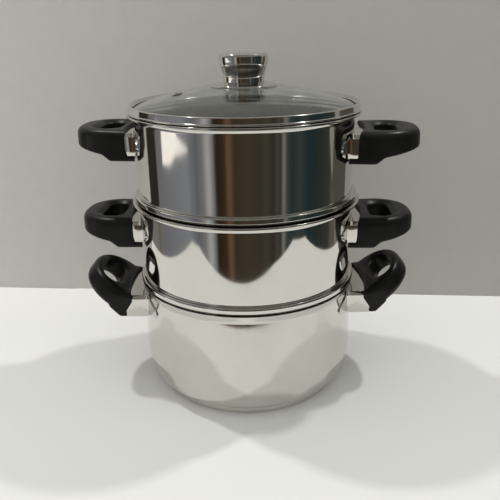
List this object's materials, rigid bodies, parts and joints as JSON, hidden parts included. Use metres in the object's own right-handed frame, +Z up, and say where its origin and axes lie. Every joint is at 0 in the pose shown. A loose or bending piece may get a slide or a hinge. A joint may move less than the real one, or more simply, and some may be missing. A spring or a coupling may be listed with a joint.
{
  "type": "steamer pot",
  "caption": "Stacked stove-top steamer: bellied steel pot, pierced steel baskets with looped black handles, and a domed glass lid with a steel knob.",
  "frame": {"origin": "middle of the underside of the base, on the axis of the stack", "axes": "+Z up the axis of the stack, +X towards the pot's right handle, -Y towards the viewer of the picture"},
  "size_m": [0.3156, 0.2138, 0.3155],
  "materials": {
    "polished_steel": "mirror-polished stainless steel with fine wipe marks",
    "base_aluminium": "turned aluminium",
    "black_phenolic": "satin moulded phenolic resin",
    "bracket_steel": "pressed stainless steel",
    "screw_steel": "plain stainless steel",
    "lid_glass": "clear tempered glass with a faint green tint",
    "knob_plastic": "moulded plastic",
    "brass": "turned brass",
    "gasket_rubber": "soft translucent silicone"
  },
  "bodies": {
    "pot": {"pot_body": "polished_steel", "base_cap": "polished_steel", "base_core": "base_aluminium", "pot_handle_right": "black_phenolic", "pot_ferrule_right": "polished_steel", "pot_bracket_right": "bracket_steel", "pot_handle_left": "black_phenolic", "pot_ferrule_left": "polished_steel", "pot_bracket_left": "bracket_steel", "pot_handle_screws": "screw_steel"},
    "middle_tier": {"middle_basket": "polished_steel", "middle_handle_right": "black_phenolic", "middle_ferrule_right": "polished_steel", "middle_bracket_right": "bracket_steel", "middle_handle_left": "black_phenolic", "middle_ferrule_left": "polished_steel", "middle_bracket_left": "bracket_steel", "middle_handle_screws": "screw_steel"},
    "top_tier": {"top_basket": "polished_steel", "top_handle_right": "black_phenolic", "top_ferrule_right": "polished_steel", "top_bracket_right": "bracket_steel", "top_handle_left": "black_phenolic", "top_ferrule_left": "polished_steel", "top_bracket_left": "bracket_steel", "top_handle_screws": "screw_steel"},
    "lid": {"lid_glass": "lid_glass", "lid_band": "polished_steel", "vent_grommet": "polished_steel", "knob_flange": "polished_steel", "knob_cap": "polished_steel", "knob_core": "knob_plastic", "knob_insert": "brass", "knob_washer": "screw_steel", "knob_screw": "screw_steel", "knob_gasket": "gasket_rubber"}
  },
  "joints": [
    {"name": "middle_tier_lift", "type": "slide", "parent": "pot", "child": "middle_tier", "axis": [0, 0, 1], "range_m": [0, 0.12]},
    {"name": "top_tier_lift", "type": "slide", "parent": "middle_tier", "child": "top_tier", "axis": [0, 0, 1], "range_m": [0, 0.12]},
    {"name": "lid_lift", "type": "slide", "parent": "top_tier", "child": "lid", "axis": [0, 0, 1], "range_m": [0, 0.12]}
  ]
}
